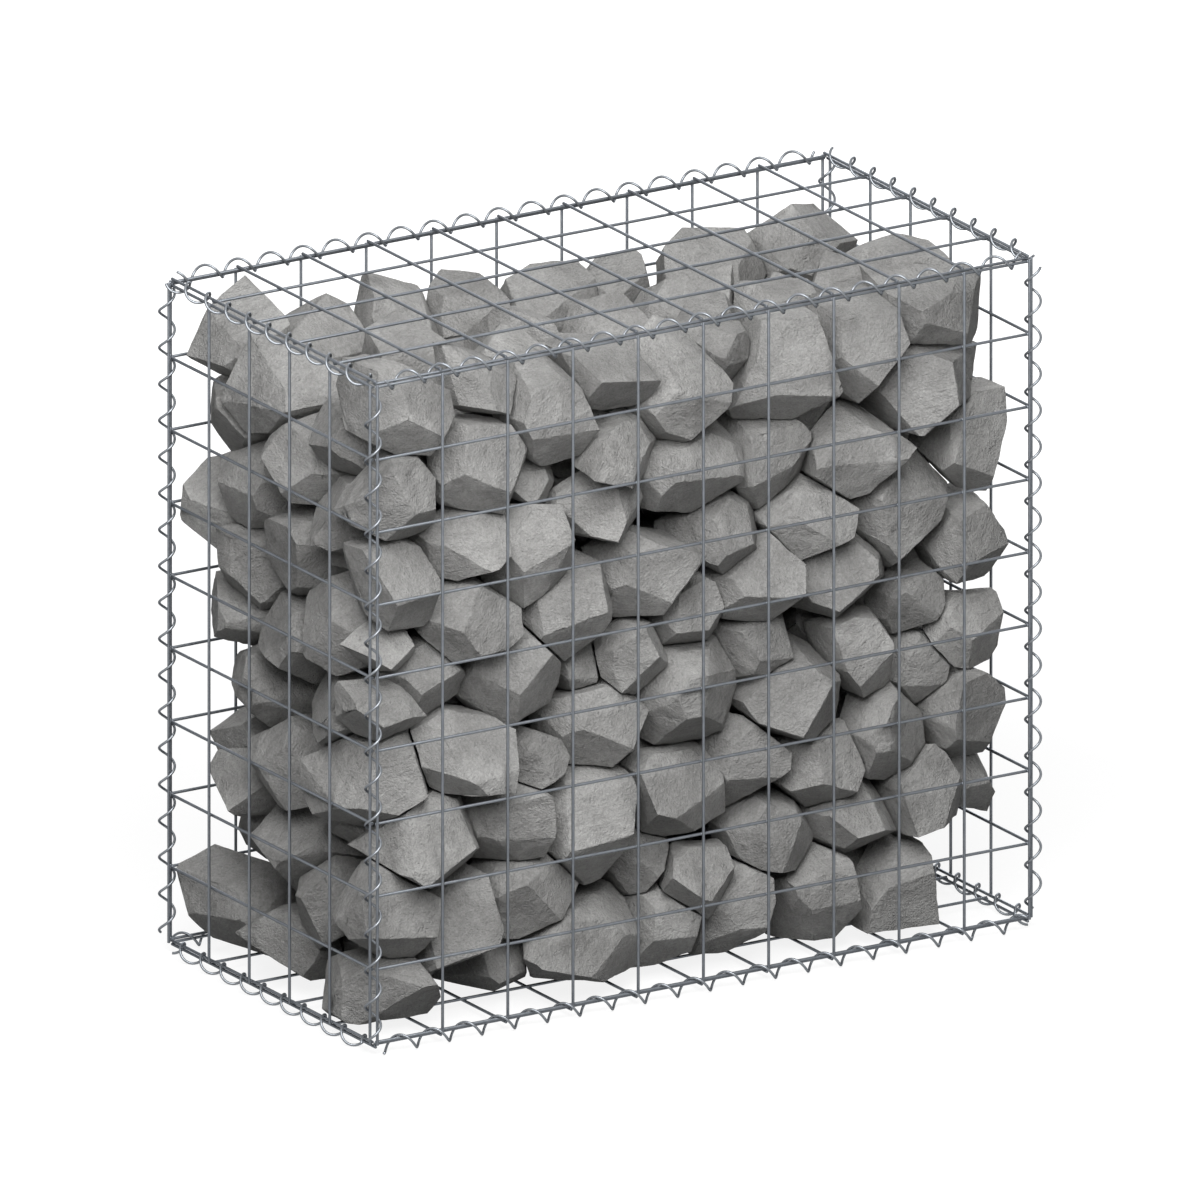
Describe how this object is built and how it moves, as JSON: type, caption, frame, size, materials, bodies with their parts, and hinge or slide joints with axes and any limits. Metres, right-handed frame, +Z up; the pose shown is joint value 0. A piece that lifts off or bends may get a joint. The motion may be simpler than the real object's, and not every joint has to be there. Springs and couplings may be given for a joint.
{
  "type": "gabion basket",
  "caption": "Box-shaped gabion of welded wire mesh panels laced with spiral binders and filled with loose angular stones, used as a free-standing retaining or garden wall element.",
  "frame": {"origin": "on the ground, under the middle of the basket", "axes": "+X along the basket, +Y from the front to the back, +Z up"},
  "size_m": [1.036, 0.536, 0.9352],
  "materials": {
    "mesh_wire": "galvanised, satin",
    "spiral_wire": "galvanised, bright drawn",
    "stone": "broken, rough"
  },
  "bodies": {
    "root": {"front_mesh": "mesh_wire", "back_mesh": "mesh_wire", "left_mesh": "mesh_wire", "right_mesh": "mesh_wire", "lid_mesh": "mesh_wire", "base_mesh": "mesh_wire", "front_left_spiral": "spiral_wire", "front_right_spiral": "spiral_wire", "back_left_spiral": "spiral_wire", "back_right_spiral": "spiral_wire", "top_front_spiral": "spiral_wire", "top_back_spiral": "spiral_wire", "bottom_front_spiral": "spiral_wire", "bottom_back_spiral": "spiral_wire", "top_left_spiral": "spiral_wire", "top_right_spiral": "spiral_wire", "bottom_left_spiral": "spiral_wire", "bottom_right_spiral": "spiral_wire", "front_stones": "stone", "left_stones": "stone", "top_stones": "stone", "back_stones": "stone", "right_stones": "stone", "core_stones": "stone"}
  },
  "joints": []
}
